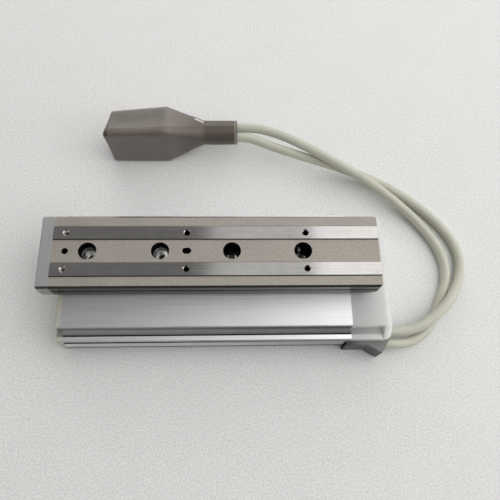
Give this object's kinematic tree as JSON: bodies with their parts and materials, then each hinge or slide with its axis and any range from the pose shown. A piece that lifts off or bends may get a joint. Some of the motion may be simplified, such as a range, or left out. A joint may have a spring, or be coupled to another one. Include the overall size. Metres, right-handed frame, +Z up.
{
  "type": "electric slide table",
  "caption": "Compact electric slide table: a ground steel table on a ball guide over a finned aluminium body, driven by a parallel motor, belt and lead screw, with a free cable pair.",
  "frame": {"origin": "on the standing surface, under the middle of the object without its cables", "axes": "+X towards the pulley cover, -X the way the table extends, +Y rearwards, +Z up"},
  "size_m": [0.2148, 0.1307, 0.0365],
  "materials": {
    "table_steel": "ground and matte steel",
    "end_plate_alu": "pale anodised",
    "body_alu": "clear anodised extrusion",
    "end_cover_resin": "cream resin",
    "pulley_cover_resin": "light grey resin",
    "grommet_resin": "dark grey resin",
    "screw_steel": "plain steel screws",
    "guide_steel": "ground bearing steel",
    "guide_resin": "black resin",
    "ball_steel": "polished balls",
    "shaft_steel": "ground shafts",
    "bearing_steel": "bearing rings",
    "nut_brass": "bronze nut and bush",
    "seal_rubber": "black rubber",
    "belt_rubber": "black toothed belt",
    "pulley_alu": "turned pulleys",
    "plate_steel": "pressed plate",
    "motor_alu": "cast motor ends",
    "stator_steel": "black laminations",
    "encoder_resin": "black resin",
    "disc_metal": "thin code disc",
    "cable_jacket": "greenish grey jacket",
    "connector_soft": "soft grey brown vinyl",
    "connector_resin": "white connector resin"
  },
  "bodies": {
    "base": {"guide_block": "guide_steel", "guide_end_caps": "guide_resin", "guide_balls": "ball_steel", "guide_screws": "screw_steel", "body_extrusion": "body_alu", "end_cover": "end_cover_resin", "end_cover_screws": "screw_steel", "pulley_cover": "pulley_cover_resin", "pulley_cover_screws": "screw_steel", "cable_grommet": "grommet_resin", "bearing_outer_rings": "bearing_steel", "rod_bush": "nut_brass", "rod_seal": "seal_rubber", "drive_belt": "belt_rubber", "motor_plate": "plate_steel", "motor_plate_screws": "screw_steel", "motor_screws": "screw_steel", "motor_flange": "motor_alu", "motor_stator": "stator_steel", "motor_end_bell": "motor_alu", "encoder_housing": "encoder_resin", "rear_cable": "cable_jacket", "front_cable": "cable_jacket", "connector_cover": "connector_soft", "cable_connector": "connector_resin"},
    "carriage": {"table": "table_steel", "end_plate": "end_plate_alu", "end_plate_screws": "screw_steel", "rod": "shaft_steel", "rod_bolt": "screw_steel", "lead_nut": "nut_brass"},
    "screw_unit": {"lead_screw": "shaft_steel", "bearing_inner_rings": "bearing_steel", "screw_spacer": "shaft_steel", "screw_pulley": "pulley_alu", "pulley_lock_nut": "screw_steel"},
    "rotor_unit": {"motor_shaft": "shaft_steel", "motor_rotor": "stator_steel", "motor_pulley": "pulley_alu", "encoder_disc": "disc_metal"}
  },
  "joints": [
    {"name": "table_slide", "type": "slide", "parent": "base", "child": "carriage", "axis": [-1, 0, 0], "range_m": [0, 0.075]},
    {"name": "screw_spin", "type": "hinge", "parent": "base", "child": "screw_unit", "pos_m": [0.01245, 0.02207, 0.01125], "axis": [1, 0, 0], "range_deg": [0, 3376]},
    {"name": "motor_spin", "type": "hinge", "parent": "base", "child": "rotor_unit", "pos_m": [0.04245, -0.01193, 0.01125], "axis": [1, 0, 0], "range_deg": [0, 3376]}
  ],
  "couplings": [
    {"joint": "screw_spin", "follows": "table_slide", "rad_per_m": 785.4},
    {"joint": "motor_spin", "follows": "table_slide", "rad_per_m": 785.4}
  ]
}
